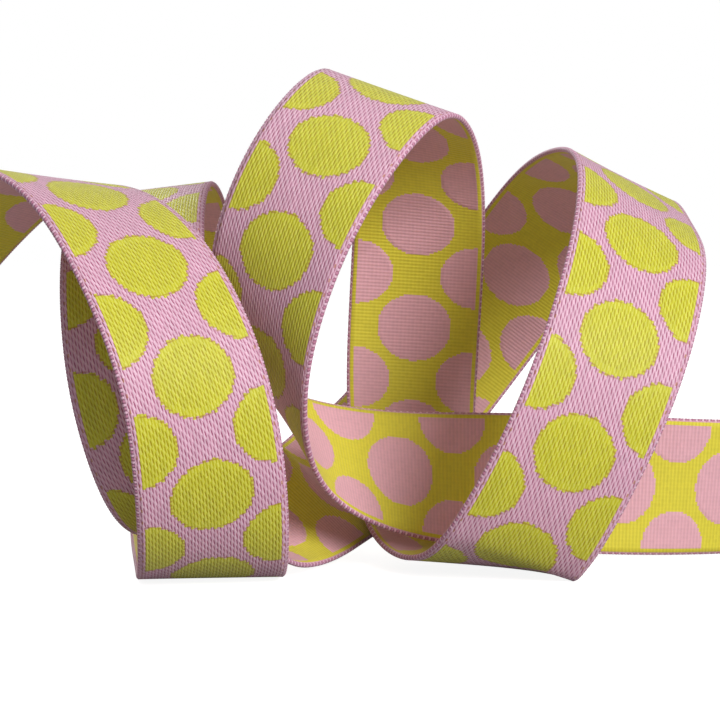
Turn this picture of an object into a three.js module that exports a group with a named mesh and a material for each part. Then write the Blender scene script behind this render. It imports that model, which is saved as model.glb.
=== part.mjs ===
import * as THREE from "three";

// A length of woven webbing curled into standing loops on a table.
// Millimetres, +Z up, table at z = 0. The outer face of the cloth looks out of each loop.

// Woven size
const WIDTH = 22;            // selvedge to selvedge, the usual 7/8 inch narrow fabric
const THICKNESS = 1;         // cloth with room for its stitches
const COLUMNS_ACROSS = 4;    // faces across the cloth
const RUNG_SPACING = 3;      // length of cloth between two lines across it

// Settling of the cloth
const ROUNDS = 300;          // rounds of easing, then of keeping the woven sizes
const LAST_ROUNDS = 40;      // rounds at the end that only keep the woven sizes
const STIFFNESS = 0.5;       // share of each kink that a round takes out
const HOLD = 0.03;           // share of the way back to the guides in a round
const FLAT_LIFT = 0.15;      // cloth lower than this lies on the table

// Guides, chosen by hand along the cloth from its left end to its right end.
// Each row is one line across the cloth: x, y, z of its middle, then two angles in degrees.
// turn: how far the right selvedge swings to the back; dip: how far it hangs down.
const STRETCHES = {
  leftLeg: [
    { x: -93.5, y: 43.5, z: 0.5, turn: 50, dip: 0 },
    { x: -86.5, y: 39.5, z: 16, turn: 50, dip: 4 },
    { x: -75, y: 32, z: 37, turn: 45, dip: 9 },
  ],
  leftCrown: [
    { x: -62.5, y: 22.5, z: 52.3, turn: 40, dip: 13 },
    { x: -50.5, y: 11, z: 59.6, turn: 40, dip: 7 },
    { x: -39.4, y: -2, z: 57, turn: 38, dip: 0 },
  ],
  leftFront: [
    { x: -30, y: -13, z: 46.8, turn: 33, dip: -9 },
    { x: -23.3, y: -19, z: 31.5, turn: 27, dip: -12 },
    { x: -20.7, y: -15, z: 14.8, turn: 14, dip: -10 },
  ],
  leftFoot: [
    { x: -21.7, y: -3.5, z: 2.2, turn: 9, dip: 0 },
    { x: -23, y: 10, z: 0.5, turn: 7, dip: 0 },
    { x: -25, y: 30, z: 0.5, turn: 6, dip: 0 },
  ],
  secondBack: [
    { x: -27.5, y: 48.5, z: 3, turn: 5, dip: 0 },
    { x: -29.5, y: 61.2, z: 14, turn: 3, dip: 0 },
    { x: -30.5, y: 65.3, z: 30, turn: 0, dip: -2 },
    { x: -32, y: 60, z: 46, turn: -2, dip: -4 },
  ],
  secondCrown: [
    { x: -33, y: 45.5, z: 56, turn: -3, dip: -6 },
    { x: -33.7, y: 29, z: 58.2, turn: -4, dip: -8 },
    { x: -34.5, y: 14, z: 53.5, turn: -4, dip: -9 },
  ],
  secondFront: [
    { x: -34.3, y: 0.5, z: 43.5, turn: -3, dip: -7 },
    { x: -31.9, y: -8, z: 29.5, turn: -6, dip: -6 },
    { x: -27, y: -2.5, z: 10.2, turn: -10, dip: 3 },
  ],
  climb: [
    { x: -17, y: 8.6, z: 5.6, turn: -12, dip: 20 },
    { x: -6.6, y: 25, z: 8.4, turn: -8, dip: 36 },
    { x: -0.5, y: 43, z: 12.2, turn: -9, dip: 38 },
    { x: 7, y: 65, z: 18.8, turn: -10, dip: 38 },
    { x: 17.3, y: 70.8, z: 31.4, turn: -11, dip: 38 },
    { x: 27.5, y: 66, z: 45.3, turn: -5, dip: 37 },
  ],
  rightCrown: [
    { x: 35.3, y: 55, z: 56.4, turn: 7, dip: 28 },
    { x: 40.3, y: 38.8, z: 60.8, turn: 11, dip: 23 },
    { x: 42.6, y: 21.3, z: 58, turn: 12, dip: 30 },
  ],
  rightFront: [
    { x: 41.7, y: 5.9, z: 50.3, turn: 10, dip: 23 },
    { x: 37.8, y: -4.6, z: 36.5, turn: 9, dip: 22 },
    { x: 31.5, y: -7.1, z: 20.2, turn: 14, dip: 22 },
  ],
  rightFoot: [
    { x: 22.8, y: -1.8, z: 5.5, turn: 18, dip: 18 },
    { x: 18.8, y: 3, z: 2.2, turn: 24, dip: 11 },
    { x: 13.8, y: 15.5, z: 1.5, turn: 23, dip: 5 },
    { x: 11.2, y: 31, z: 5.8, turn: 22, dip: 7 },
  ],
  middleBack: [
    { x: 8.8, y: 41.8, z: 19.4, turn: 18, dip: 6 },
    { x: 9.2, y: 45.4, z: 36.6, turn: 3, dip: 2 },
    { x: 9.7, y: 41.8, z: 53.8, turn: -10, dip: 5 },
  ],
  middleCrown: [
    { x: 8.5, y: 30.5, z: 67.2, turn: -19, dip: 12 },
    { x: 3.7, y: 14.5, z: 73.2, turn: -22, dip: 22 },
  ],
  middleFront: [
    { x: -4.8, y: 1.7, z: 64.2, turn: -22, dip: 21 },
    { x: -12.2, y: -2.4, z: 48.7, turn: -31, dip: 17 },
  ],
  softFold: [
    { x: -14.6, y: 2.8, z: 32.2, turn: -50, dip: 21 },
    { x: -8.8, y: 13.4, z: 20, turn: -72, dip: 36 },
  ],
  tail: [
    { x: 5.7, y: 21.8, z: 14.4, turn: -87, dip: 55 },
    { x: 22.8, y: 24.7, z: 12.9, turn: -90, dip: 73 },
    { x: 40.5, y: 25.5, z: 11.6, turn: -90, dip: 87 },
    { x: 57.7, y: 29.6, z: 11, turn: -59, dip: 98 },
    { x: 74, y: 37, z: 10.8, turn: -61, dip: 98 },
  ],
};

const FINE_STEPS = 4000;     // steps of the smooth line before it is cut into equal rungs

// One guide as a middle point and a direction from the left selvedge to the right one.
function guideLine({ x, y, z, turn, dip }) {
  const swing = THREE.MathUtils.degToRad(turn);
  const hang = THREE.MathUtils.degToRad(dip);
  const across = [
    Math.cos(hang) * Math.cos(swing),
    Math.cos(hang) * Math.sin(swing),
    -Math.sin(hang),
  ];
  return [x, y, z, ...across];
}

// Slope at each guide, from the parabola through it and its two neighbours.
function slopes(lines, places) {
  const last = lines.length - 1;
  return lines.map((line, i) => {
    if (i === 0 || i === last) {
      const j = Math.min(i, last - 1);
      return line.map((_, k) => (lines[j + 1][k] - lines[j][k]) / (places[j + 1] - places[j]));
    }
    const before = places[i] - places[i - 1];
    const after = places[i + 1] - places[i];
    return line.map((value, k) => {
      const slopeIn = (value - lines[i - 1][k]) / before;
      const slopeOut = (lines[i + 1][k] - value) / after;
      return (slopeIn * after + slopeOut * before) / (before + after);
    });
  });
}

function distance(a, b) {
  return Math.hypot(b[0] - a[0], b[1] - a[1], b[2] - a[2]);
}

// Distance travelled along a row of points, at each point.
function travelled(points) {
  const along = [0];
  for (let i = 1; i < points.length; i++) {
    along.push(along[i - 1] + distance(points[i - 1], points[i]));
  }
  return along;
}

// The smooth line through the guides, as a function of the distance between them.
function smoothLine(lines) {
  const places = travelled(lines);
  const slope = slopes(lines, places);
  return (share) => {
    const place = share * places[places.length - 1];
    let i = 0;
    while (i < lines.length - 2 && place > places[i + 1]) i++;
    const gap = places[i + 1] - places[i];
    const t = (place - places[i]) / gap;
    const t2 = t * t;
    const t3 = t2 * t;
    return lines[i].map((value, k) =>
      (2 * t3 - 3 * t2 + 1) * value +
      (t3 - 2 * t2 + t) * gap * slope[i][k] +
      (3 * t2 - 2 * t3) * lines[i + 1][k] +
      (t3 - t2) * gap * slope[i + 1][k]);
  };
}

// Lines across the cloth at equal spacing, each a middle point and a unit direction.
function equalRungs(lines) {
  const at = smoothLine(lines);
  const fine = Array.from({ length: FINE_STEPS + 1 }, (_, i) => at(i / FINE_STEPS));
  const along = travelled(fine);
  const total = along[FINE_STEPS];
  const count = Math.round(total / RUNG_SPACING);
  const rungs = [];
  let j = 0;
  for (let i = 0; i <= count; i++) {
    const place = (total * i) / count;
    while (j < FINE_STEPS - 1 && along[j + 1] < place) j++;
    const share = (place - along[j]) / (along[j + 1] - along[j]);
    const rung = fine[j].map((value, k) => value + (fine[j + 1][k] - value) * share);
    const length = Math.hypot(rung[3], rung[4], rung[5]);
    rungs.push(rung.map((value, k) => (k < 3 ? value : value / length)));
  }
  return { rungs, step: total / count };
}

// The two selvedge points of a rung.
function selvedges(rung) {
  return [-WIDTH / 2, WIDTH / 2].map((side) =>
    [0, 1, 2].map((k) => rung[k] + rung[k + 3] * side));
}

// Moves two points to their woven distance, each by half.
function tie(a, b, length) {
  const now = distance(a, b);
  const share = (now - length) / now / 2;
  for (let k = 0; k < 3; k++) {
    const move = (b[k] - a[k]) * share;
    a[k] += move;
    b[k] -= move;
  }
}

// Takes out part of each kink along both selvedges and draws them back to the guides.
function ease(edges, home) {
  const before = edges.map((pair) => pair.map((point) => [...point]));
  edges.forEach((pair, i) => pair.forEach((point, side) => {
    for (let k = 0; k < 3; k++) {
      if (i > 1 && i < edges.length - 2) {
        const kink = -before[i - 2][side][k] + 4 * before[i - 1][side][k] -
          6 * before[i][side][k] + 4 * before[i + 1][side][k] - before[i + 2][side][k];
        point[k] += (STIFFNESS * kink) / 16;
      }
      point[k] += (home[i][side][k] - point[k]) * HOLD;
    }
  }));
}

// Keeps one rung's width and its woven distances to the next rung.
function tieRung(edges, i, step) {
  const [left, right] = edges[i];
  tie(left, right, WIDTH);
  if (i + 1 === edges.length) return;
  const [nextLeft, nextRight] = edges[i + 1];
  const diagonal = Math.hypot(step, WIDTH);
  tie(left, nextLeft, step);
  tie(right, nextRight, step);
  tie(left, nextRight, diagonal);
  tie(right, nextLeft, diagonal);
}

// Direction along the cloth and across it, and the outward normal, at one rung.
function rungFrame(edges, i) {
  const before = edges[Math.max(i - 1, 0)];
  const after = edges[Math.min(i + 1, edges.length - 1)];
  const along = new THREE.Vector3();
  for (const side of [0, 1]) {
    along.add(new THREE.Vector3(...after[side])).sub(new THREE.Vector3(...before[side]));
  }
  const across = new THREE.Vector3(...edges[i][1]).sub(new THREE.Vector3(...edges[i][0]));
  return { across, normal: along.cross(across).normalize() };
}

// Lifts cloth that has sunk into the table, by its half thickness where it lies flat.
function keepAboveTable(edges) {
  edges.forEach((pair, i) => {
    const lift = (THICKNESS / 2) * Math.abs(rungFrame(edges, i).normal.z);
    for (const point of pair) point[2] = Math.max(point[2], lift);
  });
}

// The cloth at rest: both selvedges, rung by rung.
function settle(lines) {
  const { rungs, step } = equalRungs(lines);
  const home = rungs.map(selvedges);
  const edges = rungs.map(selvedges);
  for (let round = 0; round < ROUNDS; round++) {
    if (round < ROUNDS - LAST_ROUNDS) ease(edges, home);
    for (let i = 0; i < edges.length; i++) tieRung(edges, i, step);
    for (let i = edges.length - 1; i >= 0; i--) tieRung(edges, i, step);
    keepAboveTable(edges);
  }
  return { edges, step };
}

// Points of one face of the cloth: side is +1 for the outer face and -1 for the inner one.
function facePoints(edges, side) {
  return edges.map((pair, i) => {
    const { across, normal } = rungFrame(edges, i);
    return Array.from({ length: COLUMNS_ACROSS + 1 }, (_, column) => {
      const point = new THREE.Vector3(...pair[0])
        .addScaledVector(across, column / COLUMNS_ACROSS)
        .addScaledVector(normal, (side * THICKNESS) / 2);
      if (point.z < FLAT_LIFT) point.z = 0;
      return point;
    });
  });
}

// A closed sheet from its outer and inner points, with walls along its four edges.
function sheetGeometry(outer, inner) {
  const rungs = outer.length;
  const columns = COLUMNS_ACROSS + 1;
  const faceSize = rungs * columns;
  const outerAt = (i, j) => i * columns + j;
  const innerAt = (i, j) => faceSize + outerAt(i, j);
  const index = [];
  const quad = (a, b, c, d) => index.push(a, b, c, a, c, d);
  for (let i = 0; i + 1 < rungs; i++) {
    for (let j = 0; j < COLUMNS_ACROSS; j++) {
      quad(outerAt(i, j), outerAt(i + 1, j), outerAt(i + 1, j + 1), outerAt(i, j + 1));
      quad(innerAt(i, j), innerAt(i, j + 1), innerAt(i + 1, j + 1), innerAt(i + 1, j));
    }
    quad(outerAt(i, 0), innerAt(i, 0), innerAt(i + 1, 0), outerAt(i + 1, 0));
    const j = COLUMNS_ACROSS;
    quad(outerAt(i, j), outerAt(i + 1, j), innerAt(i + 1, j), innerAt(i, j));
  }
  for (let j = 0; j < COLUMNS_ACROSS; j++) {
    quad(outerAt(0, j), outerAt(0, j + 1), innerAt(0, j + 1), innerAt(0, j));
    const i = rungs - 1;
    quad(outerAt(i, j), innerAt(i, j), innerAt(i, j + 1), outerAt(i, j + 1));
  }
  const points = [...outer.flat(), ...inner.flat()];
  const geometry = new THREE.BufferGeometry().setFromPoints(points);
  geometry.setIndex(index);
  return geometry;
}

// The webbing as one solid, centred over the origin and standing on the table.
function webbing() {
  const lines = Object.values(STRETCHES).flat().map(guideLine);
  const { edges } = settle(lines);
  const geometry = sheetGeometry(facePoints(edges, 1), facePoints(edges, -1));
  geometry.computeBoundingBox();
  const centre = geometry.boundingBox.getCenter(new THREE.Vector3());
  geometry.translate(-centre.x, -centre.y, -geometry.boundingBox.min.z);
  geometry.computeVertexNormals();
  const cloth = new THREE.MeshStandardMaterial({ color: 0xd9a5c4, roughness: 0.85, metalness: 0 });
  const mesh = new THREE.Mesh(geometry, cloth);
  mesh.name = "webbing";
  return mesh;
}

const webbingLength = new THREE.Group();
webbingLength.add(webbing());

export default webbingLength;
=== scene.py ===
import math
import random

import bmesh
import bpy
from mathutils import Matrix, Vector


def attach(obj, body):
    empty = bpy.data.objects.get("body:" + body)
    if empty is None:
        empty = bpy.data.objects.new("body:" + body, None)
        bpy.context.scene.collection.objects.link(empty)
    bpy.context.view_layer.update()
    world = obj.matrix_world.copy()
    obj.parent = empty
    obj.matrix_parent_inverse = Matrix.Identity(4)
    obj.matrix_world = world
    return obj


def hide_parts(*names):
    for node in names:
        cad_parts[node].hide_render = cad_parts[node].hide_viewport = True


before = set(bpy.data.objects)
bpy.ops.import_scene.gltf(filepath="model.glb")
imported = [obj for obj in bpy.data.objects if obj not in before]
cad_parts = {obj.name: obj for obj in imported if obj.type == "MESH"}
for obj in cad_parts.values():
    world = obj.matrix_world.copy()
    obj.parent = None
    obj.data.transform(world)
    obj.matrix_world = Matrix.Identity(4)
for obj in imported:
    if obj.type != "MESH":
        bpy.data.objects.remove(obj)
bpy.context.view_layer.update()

bl_info = {
    "name": "Curled dotted webbing",
    "version": (1, 0, 0),
    "blender": (4, 5, 0),
    "location": "View3D > Sidebar > Webbing",
    "description": "A length of two-colour woven webbing curled into standing loops",
    "category": "Add Mesh",
}

MM = 0.001
NODE = "webbing"

# Guides along the cloth from its left end to its right end, in millimetres and degrees,
# the same rows as the solid's: x, y, z of the middle of a line across the cloth, then
# turn, how far its right end swings to the back, and dip, how far its right end hangs.
STRETCHES = {
    "left leg": (
        dict(x=-93.5, y=43.5, z=0.5, turn=50, dip=0),
        dict(x=-86.5, y=39.5, z=16, turn=50, dip=4),
        dict(x=-75, y=32, z=37, turn=45, dip=9),
    ),
    "left crown": (
        dict(x=-62.5, y=22.5, z=52.3, turn=40, dip=13),
        dict(x=-50.5, y=11, z=59.6, turn=40, dip=7),
        dict(x=-39.4, y=-2, z=57, turn=38, dip=0),
    ),
    "left front": (
        dict(x=-30, y=-13, z=46.8, turn=33, dip=-9),
        dict(x=-23.3, y=-19, z=31.5, turn=27, dip=-12),
        dict(x=-20.7, y=-15, z=14.8, turn=14, dip=-10),
    ),
    "left foot": (
        dict(x=-21.7, y=-3.5, z=2.2, turn=9, dip=0),
        dict(x=-23, y=10, z=0.5, turn=7, dip=0),
        dict(x=-25, y=30, z=0.5, turn=6, dip=0),
    ),
    "second back": (
        dict(x=-27.5, y=48.5, z=3, turn=5, dip=0),
        dict(x=-29.5, y=61.2, z=14, turn=3, dip=0),
        dict(x=-30.5, y=65.3, z=30, turn=0, dip=-2),
        dict(x=-32, y=60, z=46, turn=-2, dip=-4),
    ),
    "second crown": (
        dict(x=-33, y=45.5, z=56, turn=-3, dip=-6),
        dict(x=-33.7, y=29, z=58.2, turn=-4, dip=-8),
        dict(x=-34.5, y=14, z=53.5, turn=-4, dip=-9),
    ),
    "second front": (
        dict(x=-34.3, y=0.5, z=43.5, turn=-3, dip=-7),
        dict(x=-31.9, y=-8, z=29.5, turn=-6, dip=-6),
        dict(x=-27, y=-2.5, z=10.2, turn=-10, dip=3),
    ),
    "climb": (
        dict(x=-17, y=8.6, z=5.6, turn=-12, dip=20),
        dict(x=-6.6, y=25, z=8.4, turn=-8, dip=36),
        dict(x=-0.5, y=43, z=12.2, turn=-9, dip=38),
        dict(x=7, y=65, z=18.8, turn=-10, dip=38),
        dict(x=17.3, y=70.8, z=31.4, turn=-11, dip=38),
        dict(x=27.5, y=66, z=45.3, turn=-5, dip=37),
    ),
    "right crown": (
        dict(x=35.3, y=55, z=56.4, turn=7, dip=28),
        dict(x=40.3, y=38.8, z=60.8, turn=11, dip=23),
        dict(x=42.6, y=21.3, z=58, turn=12, dip=30),
    ),
    "right front": (
        dict(x=41.7, y=5.9, z=50.3, turn=10, dip=23),
        dict(x=37.8, y=-4.6, z=36.5, turn=9, dip=22),
        dict(x=31.5, y=-7.1, z=20.2, turn=14, dip=22),
    ),
    "right foot": (
        dict(x=22.8, y=-1.8, z=5.5, turn=18, dip=18),
        dict(x=18.8, y=3, z=2.2, turn=24, dip=11),
        dict(x=13.8, y=15.5, z=1.5, turn=23, dip=5),
        dict(x=11.2, y=31, z=5.8, turn=22, dip=7),
    ),
    "middle back": (
        dict(x=8.8, y=41.8, z=19.4, turn=18, dip=6),
        dict(x=9.2, y=45.4, z=36.6, turn=3, dip=2),
        dict(x=9.7, y=41.8, z=53.8, turn=-10, dip=5),
    ),
    "middle crown": (
        dict(x=8.5, y=30.5, z=67.2, turn=-19, dip=12),
        dict(x=3.7, y=14.5, z=73.2, turn=-22, dip=22),
    ),
    "middle front": (
        dict(x=-4.8, y=1.7, z=64.2, turn=-22, dip=21),
        dict(x=-12.2, y=-2.4, z=48.7, turn=-31, dip=17),
    ),
    "soft fold": (
        dict(x=-14.6, y=2.8, z=32.2, turn=-50, dip=21),
        dict(x=-8.8, y=13.4, z=20, turn=-72, dip=36),
    ),
    "tail": (
        dict(x=5.7, y=21.8, z=14.4, turn=-87, dip=55),
        dict(x=22.8, y=24.7, z=12.9, turn=-90, dip=73),
        dict(x=40.5, y=25.5, z=11.6, turn=-90, dip=87),
        dict(x=57.7, y=29.6, z=11, turn=-59, dip=98),
        dict(x=74, y=37, z=10.8, turn=-61, dip=98),
    ),
}

# Settling of the cloth, as in the solid
RUNG_SPACING = 3        # millimetres of cloth between two lines across it
FINE_STEPS = 4000
ROUNDS = 300
LAST_ROUNDS = 40
STIFFNESS = 0.5
HOLD = 0.03
SOLID_THICKNESS = 1     # millimetres
EDGE_INSET = 0.3        # the woven faces end this far inside each selvedge

# The pattern's place along the cloth
FIRST_DOT = 100.1       # millimetres from the left end to a middle dot

# Weave and dots of both faces, in millimetres on the flat cloth, with the lean as a slope
GAP = dict(lean=-0.16, half_wide=0.105, half_long=0.58)
OUTER_DOTS = dict(wide=6.1, tall=5.75, flat_side=10.0, half_wide=5.8, half_tall=5.6)
INNER_DOTS = dict(wide=6.1, tall=5.6, flat_side=9.8, half_wide=5.9, half_tall=5.3)
DOT_END = 1.3           # the plain length at both ends of an outer dot
NO_DOT = 10             # added to a half dot's formula past its flat side
BINDING = dict(spacing=2.2, place=10.2, half_wide=0.12)
INNER_TOOTH = 0.33      # steps of an inner dot's outline
INNER_RIM = 10.5        # pink from here to the selvedge
INNER_RIBS = dict(along=0.65, across=0.58)
YARN_GRAIN = 0.25       # coarser than real fibres, which are too fine to show

# Colours beside the main yarn colours, in sRGB: the gaps' yarn darkened with painted shade, painted
# highlights on the yarns' crests, and the yarn colours of dot outlines, binding stitches and selvedge
# beads
# Gap colours: the yarn in each gap, darkened with painted shade where the gap sinks in
GAP_AND_SHADE_COLOURS = dict(pink=0xAE587C, lime=0xB29C00)
PAINTED_HIGHLIGHT_COLOURS = dict(pink=0xF2DCE8, lime=0xE6E67C)
OUTLINE_COLOUR = 0xA0602A
BINDING_COLOUR = 0xB87840
BEAD_COLOURS = dict(light=0xE6BCD0, dark=0xC4849F, gap=0x985C76)

# Looks of the outer face, as shares
OUTER = dict(
    soft=0.7,           # of a gap, from its edge to its full depth
    least_depth=0.6,    # of a gap's depth, the rest is random
    end_fade=0.75,      # of a gap, lost at a dot's plain ends
    outline=0.6,        # of the outline's colour
    painted_highlight_place=0.62,   # of a rib, to the painted highlight on its yarn's crest
    painted_highlight=0.6,          # of the painted highlight's colour
    binding=0.7,        # of the binding yarn's colour
    binding_stop=0.85,  # of the wave that spaces the binding yarn
)
OUTLINE_BAND = dict(rise=(0.93, 0.98), fall=(1.0, 1.05))
OUTER_TONE = dict(least=0.92, random=0.14)
OUTER_HEIGHT = dict(ridge=0.35, gap=0.45)
# Inner face brightness, as shares: a random tone per cell, and painted light and shade that lightens
# each rib's line and darkens between
INNER_TONE_AND_RIB_SHADE = dict(least=0.86, cross_ribs=0.10, random=0.06, long_ribs=0.03)
INNER_HEIGHT = dict(puff=0.9, long_ribs=0.12, cross_ribs=0.45)
PUFF_EDGE = (0.9, 1.02)

# Cotton: matt, with the faint sheen of its fibres. Relief is in millimetres.
COTTON = {"Specular IOR Level": 0.3, "Sheen Weight": 0.15, "Sheen Roughness": 0.5}
OUTER_FINISH = dict(relief=0.12, roughness=0.48)
INNER_FINISH = dict(relief=0.09, roughness=0.65)
BEAD_FINISH = dict(relief=0.02, roughness=0.5)
LOOSE_FINISH = dict(relief=0.02, roughness=0.7)

# Loose yarn ends: shares of their reach, and how far they drift from straight out
LOOSE_ENDS = dict(shortest=0.45, longest=1.0, to_side=0.2, to_face=0.15)
STRAND = ((0, 1), (0.6, 1.1), (1, 0.5))     # share of the length, share of the thickness

# Studio in metres, watts and degrees, and the share of light from all around
AIR = 0.30
PAPER = dict(colour=0xB2B2B2, roughness=0.9, glow=0.9)
LIGHTS = (
    dict(name="key_softbox", place=(0.55, -0.75, 0.45), size=0.45, power=8.8),
    dict(name="top_softbox", place=(-0.10, 0.12, 0.80), size=0.50, power=0.8),
    dict(name="back_softbox", place=(-0.55, 0.85, 0.60), size=0.60, power=4.0),
)
AIM = (0, 0, 0.03)
CAMERA = dict(sensor=36, lens=119.45, place=(0, -0.350, 0.0507), tilt=2.9, near=0.01)


def linear(srgb):
    """A colour from its sRGB hex, as the linear values that shaders take."""
    channels = (srgb >> 16 & 255, srgb >> 8 & 255, srgb & 255)
    values = [c / 255 for c in channels]
    return tuple(c / 12.92 if c <= 0.04045 else ((c + 0.055) / 1.055) ** 2.4 for c in values)


class WebbingSettings(bpy.types.PropertyGroup):
    """Sizes and colours of the webbing, in real units."""

    width: bpy.props.FloatProperty(
        name="Width", description="Selvedge to selvedge", default=22 * MM, unit="LENGTH")
    thickness: bpy.props.FloatProperty(
        name="Thickness", description="Cloth thickness", default=0.8 * MM, unit="LENGTH")
    repeat: bpy.props.FloatProperty(
        name="Dot repeat", description="Between two middle dots", default=17.94 * MM, unit="LENGTH")
    rib: bpy.props.FloatProperty(
        name="Rib", description="Spacing of the outer face's ribs", default=0.47 * MM, unit="LENGTH")
    stitch: bpy.props.FloatProperty(
        name="Stitch", description="Between two gaps of one rib", default=1.3 * MM, unit="LENGTH")
    bead: bpy.props.FloatProperty(
        name="Selvedge bead", description="Length of one edge stitch", default=0.52 * MM, unit="LENGTH")
    pink: bpy.props.FloatVectorProperty(
        name="Pink", description="Pink yarn", subtype="COLOR", default=linear(0xD69EB6))
    lime: bpy.props.FloatVectorProperty(
        name="Lime", description="Lime yarn", subtype="COLOR", default=linear(0xC6C222))
    inner_pink: bpy.props.FloatVectorProperty(
        name="Inner pink", description="Pink dots of the inner face", subtype="COLOR",
        default=linear(0xE2ACB6))
    inner_lime: bpy.props.FloatVectorProperty(
        name="Inner lime", description="Lime ground of the inner face", subtype="COLOR",
        default=linear(0xDCD03E))


def guide_line(row):
    """A guide as six numbers: its middle, and the direction from left to right selvedge."""
    swing = math.radians(row["turn"])
    hang = math.radians(row["dip"])
    across = (math.cos(hang) * math.cos(swing), math.cos(hang) * math.sin(swing), -math.sin(hang))
    return [row["x"], row["y"], row["z"], *across]


def distance(a, b):
    return math.sqrt(sum((b[k] - a[k]) ** 2 for k in range(3)))


def travelled(points):
    """Distance along a row of points, at each point."""
    along = [0.0]
    for a, b in zip(points, points[1:]):
        along.append(along[-1] + distance(a, b))
    return along


def slopes(lines, places):
    """Slope at each guide, from the parabola through it and its two neighbours."""
    last = len(lines) - 1
    result = []
    for i, line in enumerate(lines):
        j = min(max(i, 1), last - 1)
        before = places[j] - places[j - 1]
        after = places[j + 1] - places[j]
        row = []
        for k in range(len(line)):
            slope_in = (lines[j][k] - lines[j - 1][k]) / before
            slope_out = (lines[j + 1][k] - lines[j][k]) / after
            if i == 0:
                row.append(slope_in)
            elif i == last:
                row.append(slope_out)
            else:
                row.append((slope_in * after + slope_out * before) / (before + after))
        result.append(row)
    return result


def smooth_points(lines, steps):
    """Points of the smooth line through the guides, evenly spread over it."""
    places = travelled(lines)
    slope = slopes(lines, places)
    points = []
    i = 0
    for n in range(steps + 1):
        place = places[-1] * n / steps
        while i < len(lines) - 2 and place > places[i + 1]:
            i += 1
        gap = places[i + 1] - places[i]
        t = (place - places[i]) / gap
        weights = (2 * t**3 - 3 * t**2 + 1, (t**3 - 2 * t**2 + t) * gap,
                   3 * t**2 - 2 * t**3, (t**3 - t**2) * gap)
        points.append([
            weights[0] * a + weights[1] * sa + weights[2] * b + weights[3] * sb
            for a, sa, b, sb in zip(lines[i], slope[i], lines[i + 1], slope[i + 1])
        ])
    return points


def equal_rungs(lines):
    """Lines across the cloth at equal spacing, and that spacing."""
    fine = smooth_points(lines, FINE_STEPS)
    along = travelled(fine)
    count = round(along[-1] / RUNG_SPACING)
    rungs = []
    j = 0
    for i in range(count + 1):
        place = along[-1] * i / count
        while j < FINE_STEPS - 1 and along[j + 1] < place:
            j += 1
        share = (place - along[j]) / (along[j + 1] - along[j])
        rung = [a + (b - a) * share for a, b in zip(fine[j], fine[j + 1])]
        length = math.sqrt(sum(value * value for value in rung[3:]))
        rungs.append(rung[:3] + [value / length for value in rung[3:]])
    return rungs, along[-1] / count


def selvedge_pair(rung, width):
    return [[rung[k] + rung[k + 3] * side for k in range(3)] for side in (-width / 2, width / 2)]


def tie(a, b, length):
    """Moves two points to their woven distance, each by half."""
    now = distance(a, b)
    share = (now - length) / now / 2
    for k in range(3):
        move = (b[k] - a[k]) * share
        a[k] += move
        b[k] -= move


def ease(edges, home):
    """Takes out part of each kink along both selvedges and draws them back to the guides."""
    before = [[list(point) for point in pair] for pair in edges]
    last = len(edges) - 2
    for i, pair in enumerate(edges):
        for side, point in enumerate(pair):
            for k in range(3):
                if 1 < i < last:
                    kink = (-before[i - 2][side][k] + 4 * before[i - 1][side][k]
                            - 6 * before[i][side][k] + 4 * before[i + 1][side][k]
                            - before[i + 2][side][k])
                    point[k] += STIFFNESS * kink / 16
                point[k] += (home[i][side][k] - point[k]) * HOLD


def tie_rung(edges, i, step, width):
    """Keeps one rung's width and its woven distances to the next rung."""
    left, right = edges[i]
    tie(left, right, width)
    if i + 1 == len(edges):
        return
    next_left, next_right = edges[i + 1]
    diagonal = math.hypot(step, width)
    tie(left, next_left, step)
    tie(right, next_right, step)
    tie(left, next_right, diagonal)
    tie(right, next_left, diagonal)


def rung_normal(edges, i):
    """The outward normal at one rung, and the line across it."""
    before = edges[max(i - 1, 0)]
    after = edges[min(i + 1, len(edges) - 1)]
    along = sum((Vector(after[s]) - Vector(before[s]) for s in (0, 1)), Vector())
    across = Vector(edges[i][1]) - Vector(edges[i][0])
    return along.cross(across).normalized(), across


def keep_above_table(edges):
    """Lifts cloth that has sunk into the table, by its half thickness where it lies flat."""
    for i, pair in enumerate(edges):
        lift = SOLID_THICKNESS / 2 * abs(rung_normal(edges, i)[0].z)
        for point in pair:
            point[2] = max(point[2], lift)


def settle(width):
    """The cloth at rest: both selvedges rung by rung, and the length of cloth between rungs."""
    lines = [guide_line(row) for rows in STRETCHES.values() for row in rows]
    rungs, step = equal_rungs(lines)
    home = [selvedge_pair(rung, width) for rung in rungs]
    edges = [selvedge_pair(rung, width) for rung in rungs]
    for turn in range(ROUNDS):
        if turn < ROUNDS - LAST_ROUNDS:
            ease(edges, home)
        for i in range(len(edges)):
            tie_rung(edges, i, step, width)
        for i in reversed(range(len(edges))):
            tie_rung(edges, i, step, width)
        keep_above_table(edges)
    return edges, step


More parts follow.
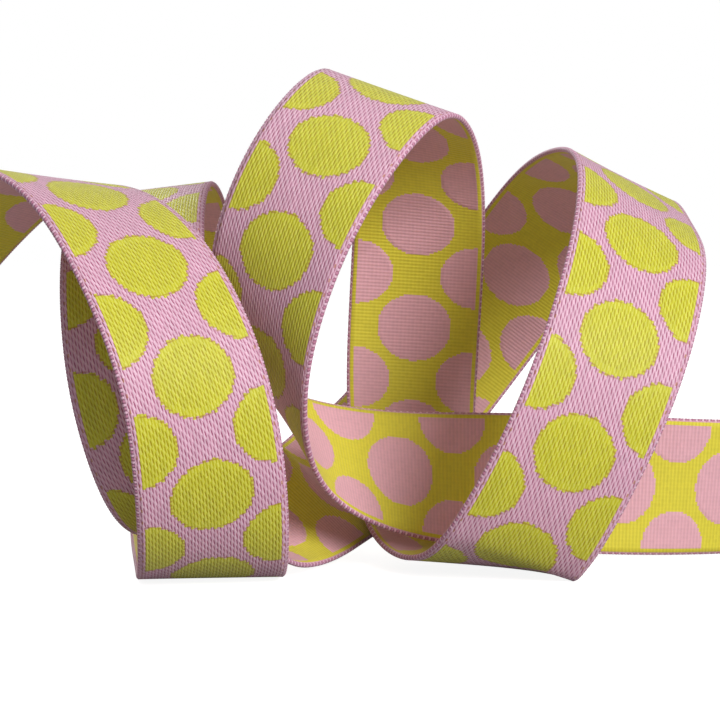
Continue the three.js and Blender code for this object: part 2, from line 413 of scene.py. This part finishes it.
class Cloth:
    """The settled cloth as a surface: a place is its distance along and across, in metres."""

    def __init__(self, width):
        edges, step = settle(width / MM)
        self.step = step * MM
        self.length = self.step * (len(edges) - 1)
        self.half = width / 2
        reach = SOLID_THICKNESS / 2
        corners = []
        for i, pair in enumerate(edges):
            normal, _ = rung_normal(edges, i)
            corners += [Vector(p) + normal * reach * side for p in pair for side in (-1, 1)]
        low = [min(c[k] for c in corners) for k in (0, 1)]
        high = [max(c[k] for c in corners) for k in (0, 1)]
        self.shift = Vector(((low[0] + high[0]) / 2, (low[1] + high[1]) / 2, 0))
        self.rows = [[(Vector(p) - self.shift) * MM for p in pair] for pair in edges]
        self.shift = self.shift * MM

    def selvedge(self, side, along):
        """A point of one selvedge, on a smooth curve through its rungs."""
        place = min(max(along / self.step, 0), len(self.rows) - 1.0001)
        i = int(place)
        t = place - i
        picks = [self.rows[min(max(i + n, 0), len(self.rows) - 1)][side] for n in (-1, 0, 1, 2)]
        a, b, c, d = picks
        return 0.5 * ((2 * b) + (c - a) * t + (2 * a - 5 * b + 4 * c - d) * t**2
                      + (3 * b - a - 3 * c + d) * t**3)

    def point(self, along, across):
        left = self.selvedge(0, along)
        right = self.selvedge(1, along)
        return left.lerp(right, across / (2 * self.half) + 0.5)

    def normal(self, along):
        nudge = self.step / 4
        left, right = self.selvedge(0, along), self.selvedge(1, along)
        ahead = self.point(min(along + nudge, self.length), 0)
        behind = self.point(max(along - nudge, 0), 0)
        return (ahead - behind).cross(right - left).normalized()


_shared = {}


def cloth(width):
    """The settled cloth, worked out once."""
    if width not in _shared:
        _shared[width] = Cloth(width)
    return _shared[width]


def add_node(tree, kind, inputs=(), **settings):
    """A shader node with its settings, and its inputs by place or by name.

    An input is a value, another node's output, or a node, whose first output is taken.
    """
    node = tree.nodes.new("ShaderNode" + kind)
    for name, value in settings.items():
        setattr(node, name, value)
    keyed = inputs if isinstance(inputs, dict) else dict(enumerate(inputs))
    for key, value in keyed.items():
        socket = node.inputs[key]
        if isinstance(value, bpy.types.Node):
            value = value.outputs[0]
        if isinstance(value, bpy.types.NodeSocket):
            tree.links.new(value, socket)
        elif socket.type == "RGBA":
            socket.default_value = (*value, 1)
        else:
            socket.default_value = value
    return node


def product(tree, *values):
    """All values multiplied."""
    result = values[0]
    for value in values[1:]:
        result = add_node(tree, "Math", (result, value), operation="MULTIPLY")
    return result


def layered(tree, ground, *layers):
    """A ground colour under further colours, each laid over it by its share."""
    for share, colour in layers:
        sockets = {0: share, 6: ground, 7: colour}
        ground = add_node(tree, "Mix", sockets, data_type="RGBA").outputs[2]
    return ground


def cloth_place(tree):
    """The place on the cloth, along and across, in millimetres."""
    place = add_node(tree, "UVMap", uv_map="cloth")
    split = add_node(tree, "SeparateXYZ", (place,))
    return [product(tree, split.outputs[k], 1 / MM) for k in (0, 1)]


def nearest(tree, value, spacing, shift=0.0):
    """The nearest line of an even row of lines: its number, and how far the place is from it."""
    spaces = add_node(tree, "Math", (value, spacing), operation="DIVIDE")
    lines = add_node(tree, "Math", (spaces, shift), operation="ADD")
    number = add_node(tree, "Math", (lines,), operation="ROUND")
    off = add_node(tree, "Math", (lines, number), operation="SUBTRACT")
    return number, product(tree, off, spacing)


def cell(tree, value, spacing):
    """The number of the even cell that a place is in."""
    spaces = add_node(tree, "Math", (value, spacing), operation="DIVIDE")
    return add_node(tree, "Math", (spaces,), operation="FLOOR")


def cell_middle(tree, value, spacing):
    """The middle of the even cell that a place is in."""
    middle = add_node(tree, "Math", (cell(tree, value, spacing), 0.5), operation="ADD")
    return product(tree, middle, spacing)


def wave(tree, value, spacing):
    """A smooth wave, 1 on the lines of an even row and 0 between them."""
    angle = product(tree, value, math.tau / spacing)
    turn = add_node(tree, "Math", (angle,), operation="COSINE")
    return add_node(tree, "Math", (turn, 0.5, 0.5), operation="MULTIPLY_ADD")


def speckle(tree, first, second):
    """An even random value for each pair of numbers."""
    pair = add_node(tree, "CombineXYZ", (first, second))
    return add_node(tree, "TexWhiteNoise", {"Vector": pair}, noise_dimensions="2D")


def squares(tree, x, wide, y, tall):
    """The two squared shares of an ellipse's formula, added."""
    shares = [add_node(tree, "Math", pair, operation="DIVIDE") for pair in ((x, wide), (y, tall))]
    squared = [product(tree, share, share) for share in shares]
    return add_node(tree, "Math", squared, operation="ADD")


def dots(tree, settings, along, across, shape):
    """Distance to the nearest dot, 1 on its outline: middle dots and the half dots between."""
    repeat = settings.repeat / MM
    past_first = add_node(tree, "Math", (along, FIRST_DOT), operation="SUBTRACT")
    turns = add_node(tree, "Math", (past_first, repeat), operation="DIVIDE")
    distances = []
    for shift in (0.5, 0.0):
        shifted = add_node(tree, "Math", (turns, shift), operation="ADD")
        share = add_node(tree, "Math", (shifted,), operation="FRACT")
        off = add_node(tree, "Math", (share, 0.5), operation="SUBTRACT")
        distances.append(product(tree, off, repeat))
    by_middle, by_half = distances
    middle = squares(tree, across, shape["wide"], by_middle, shape["tall"])
    side = add_node(tree, "Math", (across,), operation="ABSOLUTE")
    from_flat = add_node(tree, "Math", (side, shape["flat_side"]), operation="SUBTRACT")
    half = squares(tree, from_flat, shape["half_wide"], by_half, shape["half_tall"])
    past_flat = add_node(tree, "Math", (side, shape["flat_side"]), operation="GREATER_THAN")
    half = add_node(tree, "Math", (half, product(tree, past_flat, NO_DOT)), operation="ADD")
    nearer = add_node(tree, "Math", (middle, half), operation="MINIMUM")
    return add_node(tree, "Math", (nearer,), operation="SQRT")


def new_tree(name):
    """An empty material and its node tree."""
    material = bpy.data.materials.new(name)
    material.use_nodes = True
    material.node_tree.nodes.clear()
    return material, material.node_tree


def finish_cotton(tree, colour, height, relief, roughness):
    """The surface and output of a cotton material."""
    bump = add_node(tree, "Bump", {"Height": height, "Distance": relief * MM, "Strength": 1.0})
    look = {"Base Color": colour, "Normal": bump, "Roughness": roughness, **COTTON}
    surface = add_node(tree, "BsdfPrincipled", look)
    add_node(tree, "OutputMaterial", {"Surface": surface})


class OuterWeave:
    """The outer face's weave: its threads, its leaning gaps and its stepped dots."""

    def __init__(self, tree, settings):
        self.along, self.across = cloth_place(tree)
        self.rib = settings.rib / MM
        self.stitch = settings.stitch / MM
        self.step = self.stitch / 2
        self.thread = cell(tree, self.across, self.rib)
        column, dx = nearest(tree, self.across, self.rib)
        shift = add_node(tree, "Math", (product(tree, column, 0.5),), operation="FRACT")
        self.row, dy = nearest(tree, self.along, self.stitch, shift)
        self.leant = add_node(tree, "Math", (dy, GAP["lean"], dx), operation="MULTIPLY_ADD")
        least = OUTER["least_depth"]
        random_depth = (speckle(tree, self.row, column), 1 - least, least)
        self.depth = add_node(tree, "Math", random_depth, operation="MULTIPLY_ADD")
        self.is_dot = self.stepped_dots(tree, settings)
        self.gap = self.gaps(tree, settings, dy)

    def stepped_dots(self, tree, settings):
        """1 inside a dot whose outline steps with the threads, each step a little uneven."""
        uneven = product(tree, speckle(tree, self.thread, 0.5), self.step)
        moved = add_node(tree, "Math", (self.along, uneven), operation="ADD")
        stepped = cell_middle(tree, moved, self.step)
        end = add_node(tree, "Math", (stepped, uneven), operation="SUBTRACT")
        inside = dots(tree, settings, end, cell_middle(tree, self.across, self.rib), OUTER_DOTS)
        return add_node(tree, "Math", (inside, 1), operation="LESS_THAN")

    def gaps(self, tree, settings, dy):
        """The gaps between the stitches, faint at the plain ends of a dot; the colour laid on them is
        the yarn darkened with painted shade.
        """
        outside = squares(tree, self.leant, GAP["half_wide"], dy, GAP["half_long"])
        inside = add_node(tree, "Math", (1, outside), operation="SUBTRACT")
        full = add_node(tree, "MapRange", (inside, 0.0, OUTER["soft"]),
                        interpolation_type="SMOOTHSTEP")
        ends = []
        for way in (-1, 1):
            moved = add_node(tree, "Math", (self.along, way * DOT_END), operation="ADD")
            ends.append(dots(tree, settings, moved, self.across, OUTER_DOTS))
        farther = add_node(tree, "Math", ends, operation="MAXIMUM")
        near_end = add_node(tree, "Math", (farther, 1), operation="GREATER_THAN")
        lost = product(tree, near_end, self.is_dot, OUTER["end_fade"])
        left = add_node(tree, "Math", (1, lost), operation="SUBTRACT")
        return product(tree, full, self.depth, left)


def painted_highlight_share(tree, weave):
    """How much of the painted highlight along a yarn's crest shows."""
    place = weave.rib * OUTER["painted_highlight_place"]
    off = add_node(tree, "Math", (weave.leant, place), operation="SUBTRACT")
    painted_highlight = add_node(tree, "Math", (wave(tree, off, weave.rib), 2), operation="POWER")
    return product(tree, painted_highlight, weave.depth, OUTER["painted_highlight"])


def outline_share(tree, settings, weave):
    """Specks along the outline of each dot, where the two yarns cross over."""
    outline = dots(tree, settings, weave.along, weave.across, OUTER_DOTS)
    rise, fall = [add_node(tree, "MapRange", (outline, *OUTLINE_BAND[name]),
                           interpolation_type="SMOOTHSTEP") for name in ("rise", "fall")]
    before_fall = add_node(tree, "Math", (1, fall), operation="SUBTRACT")
    return product(tree, rise, before_fall, wave(tree, weave.along, weave.step), OUTER["outline"])


def binding_share(tree, weave):
    """The binding yarn's short stitches beside each selvedge."""
    spacing = wave(tree, weave.along, BINDING["spacing"])
    spaced = add_node(tree, "Math", (spacing, OUTER["binding_stop"]), operation="GREATER_THAN")
    side = add_node(tree, "Math", (weave.across,), operation="ABSOLUTE")
    line = (side, BINDING["place"], BINDING["half_wide"])
    return product(tree, spaced, add_node(tree, "Math", line, operation="COMPARE"),
                   OUTER["binding"])


# Rib-woven cotton, dyed as yarn: ribs that lean, a painted highlight along one side of each rib's
# crest, and gaps between their stitches darkened with painted shade
def outer_face(settings):
    """The outer face, pink with lime dots whose outlines step with the threads."""
    material, tree = new_tree("rib_woven_cotton")
    weave = OuterWeave(tree, settings)
    yarns = layered(tree, tuple(settings.pink), (weave.is_dot, tuple(settings.lime)))
    # Painted highlight colours for the yarns' crests, and gap colours: the yarn in each gap darkened
    # with painted shade
    painted_highlights, gaps = [
        layered(tree, linear(colours["pink"]), (weave.is_dot, linear(colours["lime"])))
        for colours in (PAINTED_HIGHLIGHT_COLOURS, GAP_AND_SHADE_COLOURS)
    ]
    colour = layered(
        tree, yarns, (painted_highlight_share(tree, weave), painted_highlights), (weave.gap, gaps),
        (outline_share(tree, settings, weave), linear(OUTLINE_COLOUR)),
        (binding_share(tree, weave), linear(BINDING_COLOUR)))
    yarn = (speckle(tree, weave.thread, weave.row), OUTER_TONE["random"], OUTER_TONE["least"])
    tone = add_node(tree, "Math", yarn, operation="MULTIPLY_ADD")
    toned = add_node(tree, "HueSaturation", {"Value": tone, "Color": colour})

    rib = wave(tree, weave.across, weave.rib)
    ridge = add_node(tree, "Math", (1, rib), operation="SUBTRACT")
    height = add_node(tree, "Math", (product(tree, ridge, OUTER_HEIGHT["ridge"]),
                                     product(tree, weave.gap, OUTER_HEIGHT["gap"])),
                      operation="SUBTRACT")
    finish_cotton(tree, toned, height, **OUTER_FINISH)
    return material


# The same cotton, woven close: smooth and matt, with faint ribs both ways, their light and shade partly
# painted into the colour, and puffed dots
def inner_face(settings):
    """The inner face, lime with pink dots and a pink rim."""
    material, tree = new_tree("close_woven_cotton")
    along, across = cloth_place(tree)
    inside = dots(tree, settings, cell_middle(tree, along, INNER_TOOTH),
                  cell_middle(tree, across, INNER_TOOTH), INNER_DOTS)
    is_dot = add_node(tree, "Math", (inside, 1), operation="LESS_THAN")
    side = add_node(tree, "Math", (across,), operation="ABSOLUTE")
    is_rim = add_node(tree, "Math", (side, INNER_RIM), operation="GREATER_THAN")
    is_pink = add_node(tree, "Math", (is_dot, is_rim), operation="MAXIMUM")
    colour = layered(tree, tuple(settings.inner_lime), (is_pink, tuple(settings.inner_pink)))

    long_ribs = wave(tree, across, INNER_RIBS["along"])
    cross_ribs = wave(tree, along, INNER_RIBS["across"])
    cells = [cell(tree, place, INNER_RIBS["along"]) for place in (along, across)]
    # Painted light and shade of the ribs: lighter on each rib's line and darker between, beside a
    # random tone per cell
    tone = INNER_TONE_AND_RIB_SHADE["least"]
    for name, value in (("cross_ribs", cross_ribs), ("random", speckle(tree, *cells)),
                        ("long_ribs", long_ribs)):
        tone = add_node(tree, "Math", (value, INNER_TONE_AND_RIB_SHADE[name], tone), operation="MULTIPLY_ADD")
    toned = add_node(tree, "HueSaturation", {"Value": tone, "Color": colour})

    smooth_dots = dots(tree, settings, along, across, INNER_DOTS)
    flat = add_node(tree, "MapRange", (smooth_dots, *PUFF_EDGE), interpolation_type="SMOOTHSTEP")
    puff = add_node(tree, "Math", (1, flat), operation="SUBTRACT")
    height = product(tree, cross_ribs, INNER_HEIGHT["cross_ribs"])
    for name, value in (("long_ribs", long_ribs), ("puff", puff)):
        height = add_node(tree, "Math", (value, INNER_HEIGHT[name], height),
                          operation="MULTIPLY_ADD")
    finish_cotton(tree, toned, height, **INNER_FINISH)
    return material


# Stitched cotton: small matt beads, by turns light and dark, with dark joins
def edge_stitch(settings):
    """The beads along both selvedges."""
    material, tree = new_tree("stitched_cotton")
    along, _ = cloth_place(tree)
    bead = settings.bead / MM
    half_number = product(tree, cell(tree, along, bead), 0.5)
    odd = product(tree, add_node(tree, "Math", (half_number,), operation="FRACT"), 2)
    gap = add_node(tree, "Math", (wave(tree, along, bead), 3), operation="POWER")
    light, dark, join = [linear(BEAD_COLOURS[name]) for name in ("light", "dark", "gap")]
    finish_cotton(tree, layered(tree, light, (odd, dark), (gap, join)), odd, **BEAD_FINISH)
    return material


# Cut cotton yarn: pink, matt and a little fuzzy
def loose_yarn(settings):
    """The loose yarn ends at both cuts."""
    material, tree = new_tree("cut_cotton_yarn")
    place = add_node(tree, "TexCoord").outputs["Object"]
    fuzz = add_node(tree, "TexNoise", {"Vector": place, "Scale": 1 / (YARN_GRAIN * MM)})
    finish_cotton(tree, tuple(settings.pink), fuzz, **LOOSE_FINISH)
    return material


def new_piece(context, name, surface):
    """Turns a finished bmesh into an object in the scene."""
    mesh = bpy.data.meshes.new(name)
    surface.to_mesh(mesh)
    surface.free()
    piece = bpy.data.objects.new(name, mesh)
    context.collection.objects.link(piece)
    return piece


def ring(surface, centre, first, second, sides, start=0.0):
    """A ring of points around a centre, never below the table."""
    points = []
    for k in range(sides):
        angle = math.tau * (k + start) / sides
        place = centre + first * math.cos(angle) + second * math.sin(angle)
        place.z = max(place.z, 0)
        points.append(surface.verts.new(place))
    return points


def bridge(surface, ring_before, ring_after):
    """Smooth faces between two rings of the same number of points."""
    faces = []
    for k in range(len(ring_before)):
        m = (k + 1) % len(ring_before)
        corners = (ring_before[k], ring_before[m], ring_after[m], ring_after[k])
        face = surface.faces.new(corners)
        face.smooth = True
        faces.append(face)
    return faces


def hand_over(piece):
    """Gives a finished piece to the frame."""
    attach(piece, "root")
    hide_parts(NODE)


class WEBBING_OT_cloth(bpy.types.Operator):
    """Weave the cloth and lay it in its loops"""

    bl_idname = "webbing.cloth"
    bl_label = "Woven cloth"

    along_spacing: bpy.props.FloatProperty(
        name="Spacing along", description="Size of a face along the cloth",
        default=0.75 * MM, unit="LENGTH")
    faces_across: bpy.props.IntProperty(
        name="Faces across", description="Faces from selvedge to selvedge", default=22)

    def execute(self, context):
        settings = context.scene.webbing
        sheet = cloth(settings.width)
        rows = round(sheet.length / self.along_spacing)
        grid = bmesh.new()
        uv = grid.loops.layers.uv.new("cloth")
        bmesh.ops.create_grid(grid, x_segments=rows, y_segments=self.faces_across, size=0.5)
        places = {}
        for vertex in grid.verts:
            along = (vertex.co.x + 0.5) * sheet.length
            across = vertex.co.y * 2 * (sheet.half - EDGE_INSET * MM)
            places[vertex] = (along, across)
        for face in grid.faces:
            face.smooth = True
            for loop in face.loops:
                loop[uv].uv = places[loop.vert]
        for vertex, (along, across) in places.items():
            vertex.co = sheet.point(along, across)
        piece = new_piece(context, "woven_cloth", grid)
        for face in (outer_face, inner_face):
            piece.data.materials.append(face(settings))
        solid = piece.modifiers.new("cloth thickness", "SOLIDIFY")
        solid.thickness = settings.thickness
        solid.offset = 0
        solid.material_offset = 1
        hand_over(piece)
        return {"FINISHED"}


class WEBBING_OT_selvedges(bpy.types.Operator):
    """Stitch both edges of the cloth with a row of beads"""

    bl_idname = "webbing.selvedges"
    bl_label = "Selvedge stitches"

    radius: bpy.props.FloatProperty(
        name="Radius", description="Half the width of the edge", default=0.34 * MM, unit="LENGTH")
    depth: bpy.props.FloatProperty(
        name="Depth", description="Thickness of the edge over its width", default=1.3)
    waist: bpy.props.FloatProperty(
        name="Waist", description="Share of the radius between two beads", default=0.75)
    margin: bpy.props.FloatProperty(
        name="Margin", description="From a cut to the first bead", default=0.2 * MM, unit="LENGTH")
    rings: bpy.props.IntProperty(name="Rings", description="Rings of points in one bead", default=4)
    sides: bpy.props.IntProperty(name="Sides", description="Points around the edge", default=6)

    def execute(self, context):
        settings = context.scene.webbing
        stitches = edge_stitch(settings)
        for name, side in (("left_selvedge", -1), ("right_selvedge", 1)):
            piece = new_piece(context, name, self.edge(settings, cloth(settings.width), side))
            piece.data.materials.append(stitches)
            hand_over(piece)
        return {"FINISHED"}

    def edge(self, settings, sheet, side):
        """One row of beads, as a tube that swells and narrows along a selvedge."""
        step = settings.bead / self.rings
        count = int((sheet.length - 2 * self.margin) / step)
        tube = bmesh.new()
        uv = tube.loops.layers.uv.new("cloth")
        rows = []
        for n in range(count + 1):
            along = self.margin + n * step
            middle = sheet.point(along, side * (sheet.half - self.radius))
            out = (sheet.point(along, side * sheet.half) - sheet.point(along, 0)).normalized()
            bulge = abs(math.sin(math.pi * along / settings.bead))
            swell = self.radius * (self.waist + (1 - self.waist) * bulge)
            lift = sheet.normal(along) * self.depth
            rows.append((along, ring(tube, middle, out * swell, lift * swell, self.sides, 0.5)))
        for (start, before), (end, after) in zip(rows, rows[1:]):
            for face in bridge(tube, before, after):
                for loop, along in zip(face.loops, (start, start, end, end)):
                    loop[uv].uv = (along, 0)
        for row in (rows[0][1], rows[-1][1]):
            tube.faces.new(row)
        bmesh.ops.recalc_face_normals(tube, faces=tube.faces)
        return tube


class WEBBING_OT_cut_ends(bpy.types.Operator):
    """Leave short loose yarn ends along both cuts"""

    bl_idname = "webbing.cut_ends"
    bl_label = "Cut ends"

    yarns: bpy.props.IntProperty(name="Yarns", description="Loose ends along one cut", default=47)
    reach: bpy.props.FloatProperty(
        name="Reach", description="Longest loose end", default=0.9 * MM, unit="LENGTH")
    root: bpy.props.FloatProperty(
        name="Root", description="Part of each end inside the cloth", default=0.3 * MM, unit="LENGTH")
    yarn: bpy.props.FloatProperty(
        name="Yarn", description="Thickness of one yarn", default=0.3 * MM, unit="LENGTH")
    sides: bpy.props.IntProperty(name="Sides", description="Points around one yarn", default=5)

    def execute(self, context):
        settings = context.scene.webbing
        sheet = cloth(settings.width)
        draw = random.Random(7)
        for name, along, way in (("left_cut", 0.0, -1), ("right_cut", sheet.length, 1)):
            piece = new_piece(context, name, self.fringe(sheet, along, way, draw))
            piece.data.materials.append(loose_yarn(settings))
            hand_over(piece)
        return {"FINISHED"}

    def fringe(self, sheet, along, way, draw):
        """The loose ends of one cut, each with its own length and drift."""
        fringe = bmesh.new()
        inward = min(max(along - way * MM, 0), sheet.length)
        out = (sheet.point(along, 0) - sheet.point(inward, 0)).normalized()
        lift = sheet.normal(along)
        side = out.cross(lift)
        for n in range(self.yarns):
            across = ((n + 0.5) / self.yarns * 2 - 1) * (sheet.half - self.yarn)
            start = sheet.point(along, across) - out * self.root
            share = draw.uniform(LOOSE_ENDS["shortest"], LOOSE_ENDS["longest"])
            length = self.reach * share + self.root
            drift = (side * draw.uniform(-LOOSE_ENDS["to_side"], LOOSE_ENDS["to_side"])
                     + lift * draw.uniform(-LOOSE_ENDS["to_face"], LOOSE_ENDS["to_face"]))
            self.strand(fringe, start, (out + drift).normalized(), lift, length)
        return fringe

    def strand(self, fringe, start, way, lift, length):
        """One yarn end, thickest past its middle and narrow at its tip."""
        side = way.cross(lift).normalized()
        up = side.cross(way)
        rings = []
        for share, thick in STRAND:
            radius = self.yarn / 2 * thick
            rings.append(ring(fringe, start + way * length * share, side * radius, up * radius,
                              self.sides))
        for before, after in zip(rings, rings[1:]):
            bridge(fringe, before, after)
        fringe.faces.new(reversed(rings[0]))
        fringe.faces.new(rings[-1])


class WEBBING_OT_stage(bpy.types.Operator):
    """Add the floor, the lights and the camera"""

    bl_idname = "webbing.stage"
    bl_label = "Studio"

    def execute(self, context):
        bpy.ops.mesh.primitive_plane_add(size=6, location=(0, 1, 0))
        floor = context.object
        floor.name = "studio_floor"
        floor.data.materials.append(self.paper())
        self.add_air(context)
        for light in LIGHTS:
            self.add_light(context, **light)
        self.add_camera(context, cloth(context.scene.webbing.width).shift)
        context.scene.view_settings.view_transform = "Standard"
        return {"FINISHED"}

    def add_air(self, context):
        """White all around for the camera, and softer light for the cloth."""
        world = bpy.data.worlds.new("studio_air")
        world.use_nodes = True
        context.scene.world = world
        tree = world.node_tree
        air = tree.nodes["Background"].inputs
        air["Color"].default_value = (1, 1, 1, 1)
        seen = add_node(tree, "LightPath").outputs["Is Camera Ray"]
        strength = add_node(tree, "Math", (seen, 1 - AIR, AIR), operation="MULTIPLY_ADD")
        tree.links.new(strength.outputs[0], air["Strength"])

    def paper(self):
        """White paper: it shows white, but throws less light up than it shows."""
        material, tree = new_tree("studio_paper")
        seen = add_node(tree, "LightPath").outputs["Is Camera Ray"]
        surface = add_node(tree, "BsdfPrincipled", {
            "Base Color": linear(PAPER["colour"]), "Roughness": PAPER["roughness"],
            "Specular IOR Level": 0.0, "Emission Color": (1, 1, 1),
            "Emission Strength": product(tree, seen, PAPER["glow"]),
        })
        add_node(tree, "OutputMaterial", {"Surface": surface})
        return material

    def add_light(self, context, name, place, size, power):
        """A round soft light that faces the cloth."""
        light = bpy.data.lights.new(name, "AREA")
        light.shape = "DISK"
        light.size = size
        light.energy = power
        lamp = bpy.data.objects.new(name, light)
        lamp.location = place
        to_cloth = Vector(AIM) - Vector(place)
        lamp.rotation_euler = to_cloth.to_track_quat("-Z", "Y").to_euler()
        context.collection.objects.link(lamp)

    def add_camera(self, context, shift):
        """The camera, placed from the guides' own origin."""
        camera = bpy.data.cameras.new("camera")
        camera.sensor_width = CAMERA["sensor"]
        camera.lens = CAMERA["lens"]
        camera.clip_start = CAMERA["near"]
        view = bpy.data.objects.new("camera", camera)
        view.location = Vector(CAMERA["place"]) - shift
        view.rotation_euler = (math.radians(90 - CAMERA["tilt"]), 0, 0)
        context.collection.objects.link(view)
        context.scene.camera = view


class WEBBING_PT_panel(bpy.types.Panel):
    """Lists the webbing's sizes, colours and making steps"""

    bl_label = "Webbing"
    bl_idname = "WEBBING_PT_panel"
    bl_space_type = "VIEW_3D"
    bl_region_type = "UI"
    bl_category = "Webbing"

    def draw(self, context):
        settings = context.scene.webbing
        for name in ("width", "thickness", "repeat", "rib", "stitch", "bead", "pink", "lime",
                     "inner_pink", "inner_lime"):
            self.layout.prop(settings, name)
        for operator in (WEBBING_OT_cloth, WEBBING_OT_selvedges, WEBBING_OT_cut_ends,
                         WEBBING_OT_stage):
            self.layout.operator(operator.bl_idname)


CLASSES = (WebbingSettings, WEBBING_OT_cloth, WEBBING_OT_selvedges, WEBBING_OT_cut_ends,
           WEBBING_OT_stage, WEBBING_PT_panel)


def register():
    for item in CLASSES:
        bpy.utils.register_class(item)
    bpy.types.Scene.webbing = bpy.props.PointerProperty(type=WebbingSettings)


def unregister():
    del bpy.types.Scene.webbing
    for item in reversed(CLASSES):
        bpy.utils.unregister_class(item)


def main():
    register()
    bpy.ops.webbing.cloth()
    bpy.ops.webbing.selvedges()
    bpy.ops.webbing.cut_ends()
    bpy.ops.webbing.stage()


if __name__ == "__main__":
    main()
